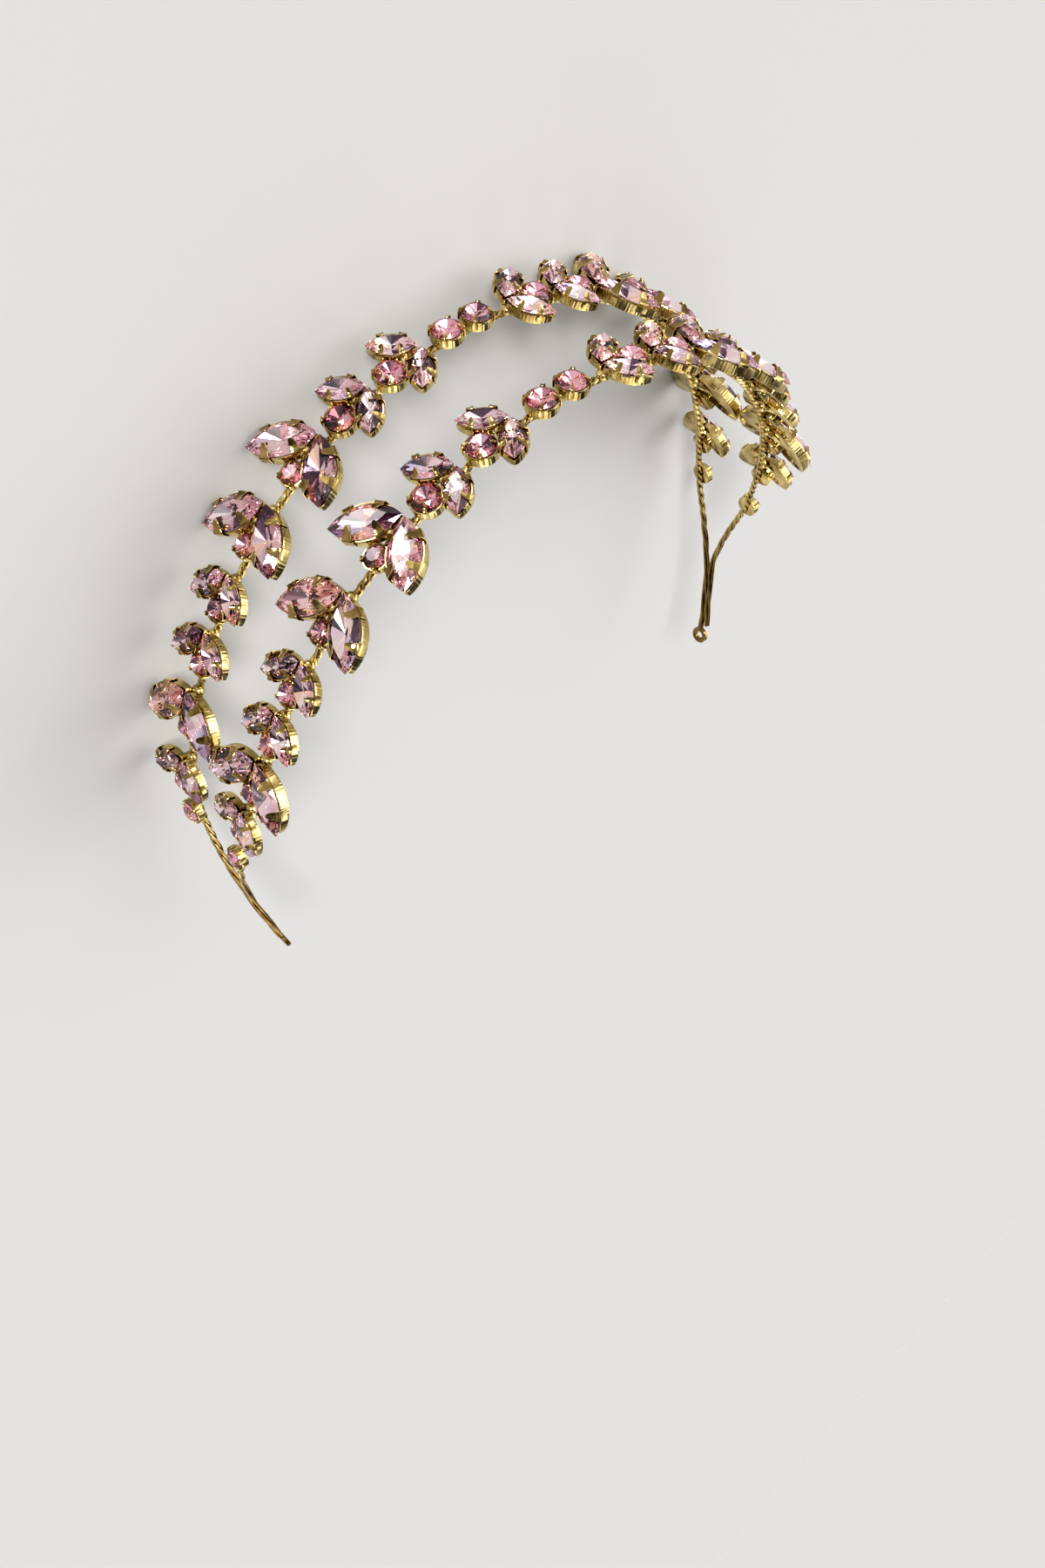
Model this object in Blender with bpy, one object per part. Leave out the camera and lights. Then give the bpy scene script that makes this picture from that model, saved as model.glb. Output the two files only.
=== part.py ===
"""Bridal crown: two rows of claw-set pink stones on gold wire, joined at both ends.

Units are metres, +Z up. The crown lies on its rear row, as it rests by itself when it is
taken off: +Z is the side that faces forward when it is worn, +Y is the top of the head,
and the two ends point to -Y. The wearer's right side is at -X.
"""

import math

import bmesh
import bpy
from mathutils import Matrix, Vector

MM = 0.001

# The arch, measured along the wire from the crown's middle
TOP_RADIUS = 74.3 * MM
SIDE_RADIUS = 96.8 * MM
SIDE_AT = 100.0 * MM
ARCH_LENGTH = 190.0 * MM
ARCH_STEP = 0.5 * MM

# How far forward (+) or back (-) each wire runs at that distance from the middle
# columns: along, front wire, rear wire, all in mm
SPREAD = (
    (0, 13.5, -13.5),
    (40, 13.3, -13.4),
    (80, 11.6, -13.0),
    (105, 8.8, -13.0),
    (128, 4.2, -12.4),
    (143, -0.6, -8.2),
    (155, -2.2, -4.2),
    (177, 2.6, 0.6),
)

# Wire and its ends
WIRE_RADIUS = 0.8 * MM
WIRE_STEP = 7.0 * MM
FRONT_WIRE_END = 173.6 * MM
REAR_WIRE_END = 176.0 * MM
EYE_AT = 177.8 * MM
EYE_RADIUS = 2.4 * MM
EYE_HOLE_RADIUS = 1.1 * MM
EYE_THICKNESS = 1.2 * MM
EYE_SIDES = 16

# Stones: length, width, girdle height, table height above the setting's floor,
# and the number of points in the outline
# columns: length, width, girdle, table (mm), points
STONES = {
    "large_marquise": (15.0, 7.0, 2.5, 4.0, 12),
    "small_marquise": (10.0, 5.0, 2.1, 3.3, 8),
    "large_round": (6.0, 6.0, 2.2, 3.4, 8),
    "small_round": (4.7, 4.7, 1.9, 3.0, 8),
}
OWN_NODE = ("large_marquise", "large_round")
TABLE_SHARE = 0.58
CULET_SHARE = 0.34

# Settings
CUP_GAP = 0.15 * MM
CUP_WALL = 0.33 * MM
TIP_WALL = 0.6 * MM
CUP_FLOOR = 0.45 * MM
SEAT_GAP = 0.3 * MM
TIP_OVERHANG_SHARE = 0.05
TIP_DROP = 0.8 * MM
BESIDE_TIP_DROP = 0.3 * MM
CLAW_RISE = 1.0 * MM
FILLED_CLAW_RISE = 0.6 * MM
CLAW_LEAN = 0.25 * MM
INNER_CLAW_RISE = 0.2 * MM
RIM_BELOW_GIRDLE = 0.05 * MM

# How the settings stand on the wire
CLUSTER_LIFT = 1.5 * MM
SINGLE_LIFT = 0.5 * MM
APEX_GAP = 0.5 * MM
POST_RADIUS = 2.0 * MM
POST_FOOT_SHARE = 0.8
POST_SINK = 0.5 * MM
POST_RISE = 1.0 * MM
POST_SIDES = 6

# V clusters, from the end of the crown to its middle. Each is two marquises that open
# towards the end of the crown, with a round between them.
# columns: front and rear place along the wire (mm), marquise, round, arm angle,
# round's distance from the point of the V (mm), front turn and tip, rear turn and tip
CLUSTERS = (
    (107.9, 111.0, "small_marquise", "small_round", 46, 7.6, 2, -4, -3, 3),
    (92.5, 92.4, "large_marquise", "small_round", 44, 9.3, 4, 3, 6, -1),
    (80.7, 78.6, "small_marquise", "small_round", 46, 7.6, 7, -2, 6, 1),
    (68.8, 66.2, "small_marquise", "small_round", 46, 7.6, 1, -1, 4, -3),
    (53.2, 50.7, "large_marquise", "small_round", 44, 9.3, 0, 0, 2, -2),
    (36.4, 34.9, "large_marquise", "small_round", 44, 9.3, 2, 0, 1, 3),
    (24.1, 22.8, "small_marquise", "large_round", 46, 8.2, 2, 3, 3, 5),
    (10.8, 10.3, "small_marquise", "large_round", 46, 8.2, 4, -1, 5, 7),
)
PAIR_AT = 3.7 * MM
END_ROUND_AT = 128.5 * MM

# Points of the wire's tube and its caps that are welded
WELD_WITHIN = 0.001 * MM

# Faces that lie in one plane are merged after the parts of a row are fused
FLAT_WITHIN = math.radians(0.3)
MERGE_WITHIN = 0.002 * MM

# The crown's rest on its rear row
LIE_TILT = math.radians(1.29)

# columns: material, colour, roughness, metallic
FINISHES = {
    "gold": ("gold_metal", (0.83, 0.62, 0.24, 1.0), 0.22, 1.0),
    "pale": ("pale_pink_stone", (0.93, 0.72, 0.78, 1.0), 0.05, 0.0),
    "rose": ("rose_pink_stone", (0.87, 0.50, 0.60, 1.0), 0.05, 0.0),
}


def clear_scene():
    for ob in list(bpy.data.objects):
        bpy.data.objects.remove(ob, do_unlink=True)


def collection(name):
    made = bpy.data.collections.new(name)
    bpy.context.scene.collection.children.link(made)
    return made


def material(name, colour, roughness, metallic):
    made = bpy.data.materials.new(name)
    made.use_nodes = True
    shader = made.node_tree.nodes["Principled BSDF"]
    shader.inputs["Base Color"].default_value = colour
    shader.inputs["Roughness"].default_value = roughness
    shader.inputs["Metallic"].default_value = metallic
    made.diffuse_color = colour
    return made


# The arch and the frames that stand on it

def arch_table(length):
    """Points and headings along the arch, from the middle to one end."""
    top_bend = 1.0 / TOP_RADIUS
    easing = (top_bend - 1.0 / SIDE_RADIUS) / SIDE_AT ** 2
    rows = [(0.0, 0.0, 0.0)]
    x = y = 0.0
    steps = int(round(length / ARCH_STEP))
    for i in range(steps):
        s = (i + 0.5) * ARCH_STEP
        heading = top_bend * s - easing * s ** 3 / 3.0
        x += math.cos(heading) * ARCH_STEP
        y -= math.sin(heading) * ARCH_STEP
        s_end = (i + 1) * ARCH_STEP
        rows.append((x, y, top_bend * s_end - easing * s_end ** 3 / 3.0))
    return rows


ARCH = arch_table(ARCH_LENGTH)


def arch_at(along):
    """x, y and heading at a distance along the arch."""
    place = along / ARCH_STEP
    i = min(int(place), len(ARCH) - 2)
    share = place - i
    return tuple(a + (b - a) * share for a, b in zip(ARCH[i], ARCH[i + 1]))


def spread_at(along, row):
    """How far forward a row's wire is, on a smooth curve through SPREAD."""
    column = 1 if row == "front" else 2
    knots = [(r[0] * MM, r[column] * MM) for r in SPREAD]
    knots = [(-knots[1][0], knots[1][1])] + knots
    last, before = knots[-1], knots[-2]
    knots.append((2 * last[0] - before[0], 2 * last[1] - before[1]))
    for i in range(1, len(knots) - 2):
        if along <= knots[i + 1][0] or i == len(knots) - 3:
            break
    (s0, z0), (s1, z1), (s2, z2), (s3, z3) = knots[i - 1:i + 3]
    t = (along - s1) / (s2 - s1)
    slope1 = (z2 - z0) / (s2 - s0) * (s2 - s1)
    slope2 = (z3 - z1) / (s3 - s1) * (s2 - s1)
    return (
        z1 * (2 * t ** 3 - 3 * t ** 2 + 1)
        + slope1 * (t ** 3 - 2 * t ** 2 + t)
        + z2 * (3 * t ** 2 - 2 * t ** 3)
        + slope2 * (t ** 3 - t ** 2)
    )


def wire_point(along, row, side):
    x, y, _ = arch_at(along)
    return Vector((side * x, y, spread_at(along, row)))


def wire_frame(along, row, side, turn=0.0, tip=0.0):
    """A frame on the wire: X towards the crown's end, Z away from the head.

    turn swings X towards the front, and tip leans Z towards the front.
    """
    _, _, heading = arch_at(along)
    ahead = wire_point(along + ARCH_STEP, row, side) - wire_point(along - ARCH_STEP, row, side)
    axis_x = ahead.normalized()
    out = Vector((side * math.sin(heading), math.cos(heading), 0.0))
    axis_z = (out - axis_x * out.dot(axis_x)).normalized()
    axis_y = axis_z.cross(axis_x)
    frame = Matrix((axis_x, axis_y, axis_z)).transposed().to_4x4()
    frame.translation = wire_point(along, row, side)
    forward = 1.0 if axis_y.z > 0 else -1.0
    swing = Matrix.Rotation(forward * math.radians(turn), 4, "Z")
    lean = Matrix.Rotation(-forward * math.radians(tip), 4, "X")
    return frame @ swing @ lean


# Outlines and lofts

def outline(length, width, points):
    """A closed ring of (x, y, outward x, outward y): a circle, or two arcs that meet in points."""
    ring = []
    if length == width:
        for i in range(points):
            angle = 2 * math.pi * i / points
            out = (math.cos(angle), math.sin(angle))
            ring.append((out[0] * length / 2, out[1] * length / 2, *out))
        return ring
    a = length / 2
    b = width / 2
    radius = (a * a + b * b) / (2 * b)
    half_angle = math.asin(a / radius)
    for side in (1, -1):
        for i in range(points // 2):
            angle = half_angle * (1 - 4 * i / points)
            out = (side * math.sin(angle), side * math.cos(angle))
            x = radius * out[0]
            y = radius * out[1] - side * (radius - b)
            if i == 0:
                out = (side, 0.0)
            ring.append((x, y, *out))
    return ring


def steps_from_tip(i, points):
    half = points // 2
    return min(i % half, half - i % half)


def is_claw(i, points, pointed):
    """Four claws: two along each side of a marquise, or spaced round a circle."""
    if not pointed:
        return i % 2 == 1
    return steps_from_tip(i, points) == (2 if points > 8 else 1)


def stone_ring(kind, height, share=1.0):
    """The stone's own outline at a height, at full size or scaled."""
    length, width, _, _, points = STONES[kind]
    flat = outline(length * MM, width * MM, points)
    return [(x * share, y * share, height) for x, y, _, _ in flat]


def cup_ring(kind, grow, tip_grow, height, rise=0.0, lean=0.0, drop=False):
    """A ring that stands off the stone's outline, raised at the claws and low at the tips."""
    length, width, _, _, points = STONES[kind]
    pointed = length != width
    ring = []
    for i, (x, y, out_x, out_y) in enumerate(outline(length * MM, width * MM, points)):
        z = height
        away = grow
        if is_claw(i, points, pointed):
            away -= lean
            z += rise
        elif pointed and steps_from_tip(i, points) == 0:
            away = tip_grow
            z -= TIP_DROP if drop else 0.0
        elif pointed and steps_from_tip(i, points) == 1:
            z -= BESIDE_TIP_DROP if drop else 0.0
        ring.append((x + out_x * away, y + out_y * away, z))
    return ring


def loft(rings):
    """A closed solid through rings of equal counts, from the underside upwards."""
    shape = bmesh.new()
    rows = [[shape.verts.new(point) for point in ring] for ring in rings]
    count = len(rings[0])
    for low, high in zip(rows, rows[1:]):
        for i in range(count):
            j = (i + 1) % count
            shape.faces.new((low[i], low[j], high[j], high[i]))
    shape.faces.new(list(reversed(rows[0])))
    shape.faces.new(rows[-1])
    bmesh.ops.triangulate(shape, faces=shape.faces[:])
    bmesh.ops.recalc_face_normals(shape, faces=shape.faces[:])
    mesh = bpy.data.meshes.new("loft")
    shape.to_mesh(mesh)
    shape.free()
    return mesh


# Stones and settings, each in a frame whose origin is the middle of the setting's underside

def stone_rings(kind):
    _, _, girdle, table, _ = STONES[kind]
    return [
        stone_ring(kind, CUP_FLOOR + SEAT_GAP, CULET_SHARE),
        stone_ring(kind, girdle * MM),
        stone_ring(kind, table * MM, TABLE_SHARE),
    ]


def cup_sizes(kind):
    """Rim height, and how far the cup's wall stands out past the stone at its sides and tips."""
    length, width, girdle, _, _ = STONES[kind]
    side = CUP_GAP + CUP_WALL
    tip = -TIP_OVERHANG_SHARE * length * MM if length != width else side
    return girdle * MM - RIM_BELOW_GIRDLE, side, tip


def open_cup(kind):
    """A hollow setting with four claws, for a stone that is a solid of its own."""
    rim, side, tip = cup_sizes(kind)
    inner_tip = tip - TIP_WALL
    return loft([
        cup_ring(kind, side, tip, 0.0),
        cup_ring(kind, side, tip, rim, CLAW_RISE, CLAW_LEAN, True),
        cup_ring(kind, CUP_GAP, inner_tip, rim, INNER_CLAW_RISE, 0.0, True),
        cup_ring(kind, CUP_GAP, inner_tip, CUP_FLOOR),
    ])


def filled_cup(kind):
    """A setting and its stone as one solid."""
    rim, side, tip = cup_sizes(kind)
    setting = [
        cup_ring(kind, side, tip, 0.0),
        cup_ring(kind, side, tip, rim, FILLED_CLAW_RISE, CLAW_LEAN, True),
    ]
    return loft(setting + stone_rings(kind)[1:])


def post(radius, height):
    """A six-sided solder post that joins settings to the wire below them."""
    shape = bmesh.new()
    bmesh.ops.create_cone(
        shape,
        cap_ends=True,
        segments=POST_SIDES,
        radius1=radius * POST_FOOT_SHARE,
        radius2=radius,
        depth=height,
        matrix=Matrix.Translation((0.0, 0.0, height / 2)),
    )
    mesh = bpy.data.meshes.new("post")
    shape.to_mesh(mesh)
    shape.free()
    return mesh


# The parts

def add_object(name, mesh, matrix, finish, parts):
    made = bpy.data.objects.new(name, mesh)
    made.matrix_world = matrix
    made.data.materials.clear()
    made.data.materials.append(finish)
    parts.objects.link(made)
    return made


def place_stone(kind, frame, name, settings, stones):
    """Adds a setting at a frame, with its stone inside it or as a solid of its own."""
    if kind in OWN_NODE:
        settings.append((open_cup(kind), frame))
        stones.append((name, kind, loft(stone_rings(kind)), frame))
    else:
        settings.append((filled_cup(kind), frame))


def cluster(row, side, number, settings, stones):
    """One V of two marquises with a round between them."""
    front, rear, marquise, round_kind, arm, round_at, *leans = CLUSTERS[number - 1]
    along = (front if row == "front" else rear) * MM
    turn, tip = leans[:2] if row == "front" else leans[2:]
    frame = wire_frame(along, row, side, turn, tip)
    lift = Matrix.Translation((0.0, 0.0, CLUSTER_LIFT))
    hand = "right" if side < 0 else "left"
    sink = Matrix.Translation((0.0, 0.0, -POST_SINK))
    apex_height = CLUSTER_LIFT + POST_SINK + POST_RISE
    settings.append((post(POST_RADIUS, apex_height), frame @ sink))
    reach = STONES[marquise][0] * MM / 2 + APEX_GAP
    forward = 1 if (frame.to_3x3() @ Vector((0.0, 1.0, 0.0))).z > 0 else -1
    for sign, arm_name in ((forward, "front_arm"), (-forward, "rear_arm")):
        swing = Matrix.Rotation(math.radians(sign * arm), 4, "Z")
        place = frame @ lift @ swing @ Matrix.Translation((reach, 0.0, 0.0))
        name = f"{row}_{hand}_marquise_{number}_{arm_name}"
        place_stone(marquise, place, name, settings, stones)
    place = frame @ Matrix.Translation((round_at * MM, 0.0, SINGLE_LIFT))
    place_stone(round_kind, place, f"{row}_{hand}_round_{number}", settings, stones)


def single_round(row, side, along, kind, name, settings, stones):
    frame = wire_frame(along, row, side) @ Matrix.Translation((0.0, 0.0, SINGLE_LIFT))
    place_stone(kind, frame, name, settings, stones)


def wire(row, end):
    """A row's whole wire as a closed tube, from one end of the crown to the other."""
    count = int(round(end / WIRE_STEP))
    stops = [end * i / count for i in range(count + 1)]
    points = [wire_point(s, row, -1) for s in reversed(stops)]
    points += [wire_point(s, row, 1) for s in stops[1:]]
    curve = bpy.data.curves.new(row + "_wire", "CURVE")
    curve.dimensions = "3D"
    curve.bevel_depth = WIRE_RADIUS
    curve.bevel_resolution = 1
    curve.use_fill_caps = True
    spline = curve.splines.new("POLY")
    spline.points.add(len(points) - 1)
    for target, point in zip(spline.points, points):
        target.co = (*point, 1.0)
    drawn = bpy.data.objects.new(row + "_wire", curve)
    bpy.context.scene.collection.objects.link(drawn)
    bpy.context.view_layer.update()
    graph = bpy.context.evaluated_depsgraph_get()
    mesh = bpy.data.meshes.new_from_object(drawn.evaluated_get(graph))
    bpy.data.objects.remove(drawn, do_unlink=True)
    bpy.data.curves.remove(curve)
    shape = bmesh.new()
    shape.from_mesh(mesh)
    bmesh.ops.remove_doubles(shape, verts=shape.verts[:], dist=WELD_WITHIN)
    bmesh.ops.recalc_face_normals(shape, faces=shape.faces[:])
    shape.to_mesh(mesh)
    shape.free()
    return mesh


def eye_mesh():
    """The flattened ring at a wire's end."""
    shape = bmesh.new()
    rows = []
    half = EYE_THICKNESS / 2
    section = (
        (EYE_RADIUS, -half),
        (EYE_RADIUS, half),
        (EYE_HOLE_RADIUS, half),
        (EYE_HOLE_RADIUS, -half),
    )
    for i in range(EYE_SIDES):
        angle = 2 * math.pi * i / EYE_SIDES
        rows.append([
            shape.verts.new((math.cos(angle) * r, math.sin(angle) * r, z)) for r, z in section
        ])
    for i in range(EYE_SIDES):
        here = rows[i]
        there = rows[(i + 1) % EYE_SIDES]
        for k in range(len(section)):
            m = (k + 1) % len(section)
            shape.faces.new((here[k], there[k], there[m], here[m]))
    bmesh.ops.recalc_face_normals(shape, faces=shape.faces[:])
    mesh = bpy.data.meshes.new("eye")
    shape.to_mesh(mesh)
    shape.free()
    return mesh


def fuse(base, pieces, cutters):
    """Joins soldered pieces to a wire, one Boolean union after another."""
    for number, (mesh, matrix) in enumerate(pieces):
        tool = bpy.data.objects.new(f"{base.name}_piece_{number}", mesh)
        tool.matrix_world = matrix
        tool.hide_render = True
        tool.display_type = "WIRE"
        cutters.objects.link(tool)
        join = base.modifiers.new("join", "BOOLEAN")
        join.operation = "UNION"
        join.solver = "MANIFOLD"
        join.object = tool
        bpy.context.view_layer.update()
        graph = bpy.context.evaluated_depsgraph_get()
        joined = bpy.data.meshes.new_from_object(base.evaluated_get(graph))
        base.modifiers.clear()
        old = base.data
        base.data = joined
        bpy.data.meshes.remove(old)
        bpy.data.objects.remove(tool, do_unlink=True)


def simplify(metal):
    """Merges the flat faces that the unions split, and leaves plain triangles."""
    shape = bmesh.new()
    shape.from_mesh(metal.data)
    bmesh.ops.remove_doubles(shape, verts=shape.verts[:], dist=MERGE_WITHIN)
    bmesh.ops.dissolve_limit(
        shape,
        angle_limit=FLAT_WITHIN,
        verts=shape.verts[:],
        edges=shape.edges[:],
        use_dissolve_boundaries=False,
        delimit={"MATERIAL"},
    )
    bmesh.ops.triangulate(shape, faces=shape.faces[:])
    shape.to_mesh(metal.data)
    shape.free()


def build_row(row, end, parts, cutters, finishes):
    """A row's metal with the stones that are fused to it, and its own stones."""
    settings = []
    stones = []
    for side in (-1, 1):
        hand = "right" if side < 0 else "left"
        single_round(row, side, PAIR_AT, "large_round", f"{row}_{hand}_centre_round", settings, stones)
        for number in range(len(CLUSTERS), 0, -1):
            cluster(row, side, number, settings, stones)
        single_round(row, side, END_ROUND_AT, "small_round", "", settings, stones)
        if row == "rear":
            settings.append((eye_mesh(), wire_frame(EYE_AT, row, side)))
    metal = add_object(f"{row}_row", wire(row, end), Matrix.Identity(4), finishes["gold"], parts)
    fuse(metal, settings, cutters)
    simplify(metal)
    for name, kind, mesh, frame in stones:
        finish = finishes["rose"] if kind == "large_round" else finishes["pale"]
        add_object(name, mesh, frame, finish, parts)


def lay_down(parts):
    """Tilts the crown onto its rear row and centres its box over the origin."""
    holder = bpy.data.objects.new("crown_rest", None)
    parts.objects.link(holder)
    tilt = Matrix.Rotation(LIE_TILT, 4, "X")
    corners = []
    for ob in parts.objects:
        if ob.type == "MESH":
            turned = tilt @ ob.matrix_world
            corners += [turned @ vert.co for vert in ob.data.vertices]
    low = [min(c[i] for c in corners) for i in range(3)]
    high = [max(c[i] for c in corners) for i in range(3)]
    shift = Vector((-(low[0] + high[0]) / 2, -(low[1] + high[1]) / 2, -low[2]))
    for ob in parts.objects:
        if ob.type == "MESH":
            ob.parent = holder
    holder.matrix_world = Matrix.Translation(shift) @ tilt


def main():
    clear_scene()
    parts = collection("bridal_crown")
    cutters = collection("solder_pieces")
    finishes = {key: material(*row) for key, row in FINISHES.items()}
    build_row("front", FRONT_WIRE_END, parts, cutters, finishes)
    build_row("rear", REAR_WIRE_END, parts, cutters, finishes)
    lay_down(parts)
    bpy.context.view_layer.update()


main()
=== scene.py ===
"""Looks of the bridal crown: twisted gold wire, fluted claw settings and foil-backed pink crystal."""

import math
import random

import bpy
import numpy as np
from mathutils import Matrix, Vector


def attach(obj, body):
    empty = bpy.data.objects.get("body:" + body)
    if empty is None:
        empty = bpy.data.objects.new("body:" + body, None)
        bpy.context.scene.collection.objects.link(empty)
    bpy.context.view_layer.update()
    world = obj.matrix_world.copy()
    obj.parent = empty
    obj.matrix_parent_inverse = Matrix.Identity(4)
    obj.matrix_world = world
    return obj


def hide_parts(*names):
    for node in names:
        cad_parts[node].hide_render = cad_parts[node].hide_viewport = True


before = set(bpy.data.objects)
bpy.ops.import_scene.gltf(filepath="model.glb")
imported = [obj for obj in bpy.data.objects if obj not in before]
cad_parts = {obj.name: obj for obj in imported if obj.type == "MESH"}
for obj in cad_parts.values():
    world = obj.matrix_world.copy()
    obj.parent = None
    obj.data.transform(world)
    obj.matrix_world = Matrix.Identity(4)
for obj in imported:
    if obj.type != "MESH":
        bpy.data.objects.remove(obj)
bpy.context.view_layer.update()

MM = 0.001
TINY = 1e-6
WHITE = (1.0, 1.0, 1.0)

# The arch and its rows, as in the part's source
TOP_RADIUS = 74.3 * MM
SIDE_RADIUS = 96.8 * MM
SIDE_AT = 100.0 * MM
ARCH_LENGTH = 190.0 * MM
ARCH_STEP = 0.5 * MM
# columns: along, front wire, rear wire, all in mm
SPREAD = (
    (0, 13.5, -13.5),
    (40, 13.3, -13.4),
    (80, 11.6, -13.0),
    (105, 8.8, -13.0),
    (128, 4.2, -12.4),
    (143, -0.6, -8.2),
    (155, -2.2, -4.2),
    (177, 2.6, 0.6),
)
FRONT_WIRE_END = 173.6 * MM
REAR_WIRE_END = 176.0 * MM
EYE_AT = 177.8 * MM
EYE_RADIUS = 2.4 * MM
EYE_HOLE_RADIUS = 1.1 * MM
EYE_THICKNESS = 1.2 * MM
EYE_EDGE_SOFTNESS = 0.22 * MM
EYE_SIDES = 28

# The row frame: the crown lies on its rear row
LIE_TILT = math.radians(1.29)
LIE_SHIFT = Vector((0.0, 0.06552086, 0.02459546))
HOLDER = Matrix.Translation(LIE_SHIFT) @ Matrix.Rotation(LIE_TILT, 4, "X")

# columns: length, width, girdle height, table height (mm), ribs round the cup
STONES = {
    "large_marquise": (15.0, 7.0, 2.5, 4.0, 44),
    "small_marquise": (10.0, 5.0, 2.1, 3.3, 30),
    "large_round": (6.0, 6.0, 2.2, 3.4, 28),
    "small_round": (4.7, 4.7, 1.9, 3.0, 22),
}
CLUSTER_LIFT = 1.5 * MM
SINGLE_LIFT = 0.5 * MM
APEX_GAP = 0.5 * MM
# columns: front and rear place (mm), marquise, round, arm angle, round's distance (mm),
# front turn and tip, rear turn and tip (degrees)
CLUSTERS = (
    (107.9, 111.0, "small_marquise", "small_round", 46, 7.6, 2, -4, -3, 3),
    (92.5, 92.4, "large_marquise", "small_round", 44, 9.3, 4, 3, 6, -1),
    (80.7, 78.6, "small_marquise", "small_round", 46, 7.6, 7, -2, 6, 1),
    (68.8, 66.2, "small_marquise", "small_round", 46, 7.6, 1, -1, 4, -3),
    (53.2, 50.7, "large_marquise", "small_round", 44, 9.3, 0, 0, 2, -2),
    (36.4, 34.9, "large_marquise", "small_round", 44, 9.3, 2, 0, 1, 3),
    (24.1, 22.8, "small_marquise", "large_round", 46, 8.2, 2, 3, 3, 5),
    (10.8, 10.3, "small_marquise", "large_round", 46, 8.2, 4, -1, 5, 7),
)
PAIR_AT = 3.7 * MM
END_ROUND_AT = 128.5 * MM

# Twisted wire, whose strands wind more slowly along the stems
STRANDS = 3
STRAND_RADIUS = 0.40 * MM
TWIST_RADIUS = 0.46 * MM
TWIST_PITCH = 6.3 * MM
STEM_PITCH = 40.0 * MM
TURN_STEPS = 22
STRAND_SIDES = 8

# The stems behind the ears are browner, and hardly twisted
STEM_LOOK_FROM = 126.0 * MM
STEM_LOOK_TO = 152.0 * MM
# a darker, browner tint along the stems and on the eye
STEM_DARKER_TINT = (0.52, 0.44, 0.34)

# Cups: fluted walls a little outside the stone, whose rim lies just below its girdle
RIB_DEPTH = 0.07 * MM
STEPS_PER_RIB = 4
CUP_OUT = 0.42 * MM
CUP_THICK = 0.28 * MM
RIM_BELOW = 0.12 * MM
# The two ends of a pointed cup stop short of the stone's tips, drop towards them and are blunt
TIP_SHORT_SHARE = 0.05
TIP_DROP = 0.75 * MM
TIP_DROP_FROM = 0.72
TIP_DROP_POWER = 1.5
TIP_BLUNT_FROM = 0.97
TIP_BLUNT_LONG = 0.8
TIP_BLUNT_WIDE = 0.6
# columns: share of the height, how far in from the outer wall, share of the ribs' depth
CUP_RINGS = (
    (0.0, 0.30 * MM, 0.0),
    (0.06, 0.06 * MM, 0.3),
    (0.20, 0.0, 1.0),
    (0.78, 0.0, 1.0),
    (0.93, 0.02 * MM, 0.2),
    (1.0, 0.08 * MM, 0.0),
    (1.0, CUP_THICK, 0.0),
    (0.35, CUP_THICK + 0.1 * MM, 0.0),
)

# Claws: dished tongues with raised thin edges, painted shade in the hollow and a rounded end
CLAW_THICK = 0.22 * MM
CLAW_RIM = 0.20 * MM
CLAW_DISH = 0.10
CLAW_EDGE_FROM = 0.95
CLAW_EDGE_THICK = 0.35
# painted shade for the faces of each claw's hollow
CLAW_HOLLOW_SHADE = (0.62, 0.57, 0.50)
CLAW_ROUND_FROM = 0.45
CLAW_BLUNT = 0.15
CLAW_CLEAR = 0.15 * MM
CLAW_BEND_CHANGE = 0.6
CLAW_SHORT_SHARE = 0.4
# Points across a claw, in shares of half its width
CLAW_COLUMNS = (-1.0, -0.93, -0.6, -0.2, 0.2, 0.6, 0.93, 1.0)
# Steps over the stone, in shares of the claw's reach
CLAW_REACH_STEPS = (0.3, 0.55, 0.75, 0.9, 0.98, 1.0)
ROUND_CLAW_SHARES = (0.125, 0.375, 0.625, 0.875)
# columns: place of the claws as a share of half the length, then in mm the width at the wall,
# the width near the tip and the reach over the stone
CLAWS = {
    "large_marquise": (0.44, 2.5, 1.5, 1.8),
    "small_marquise": (0.42, 1.6, 1.0, 1.15),
    "large_round": (0.0, 1.1, 0.5, 0.95),
    "small_round": (0.0, 0.9, 0.45, 0.75),
}

# The tints of the facets, many of them painted reflections and glints, are dealt from a shuffled pack
TINT_SEED = 12
rng = random.Random(TINT_SEED)
undealt = []


# The arch

def arch_table(length):
    """Places and headings along one half of the arch, with a bend that eases off from the top."""
    top_bend = 1.0 / TOP_RADIUS
    easing = (top_bend - 1.0 / SIDE_RADIUS) / SIDE_AT ** 2
    rows = [(0.0, 0.0, 0.0)]
    x = y = 0.0
    for i in range(int(round(length / ARCH_STEP))):
        s = (i + 0.5) * ARCH_STEP
        heading = top_bend * s - easing * s ** 3 / 3.0
        x += math.cos(heading) * ARCH_STEP
        y -= math.sin(heading) * ARCH_STEP
        s_end = (i + 1) * ARCH_STEP
        rows.append((x, y, top_bend * s_end - easing * s_end ** 3 / 3.0))
    return rows


ARCH = arch_table(ARCH_LENGTH)


def arch_at(along):
    """Place and heading of the arch at a distance from its top."""
    place = along / ARCH_STEP
    i = min(int(place), len(ARCH) - 2)
    share = place - i
    return tuple(a + (b - a) * share for a, b in zip(ARCH[i], ARCH[i + 1]))


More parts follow.
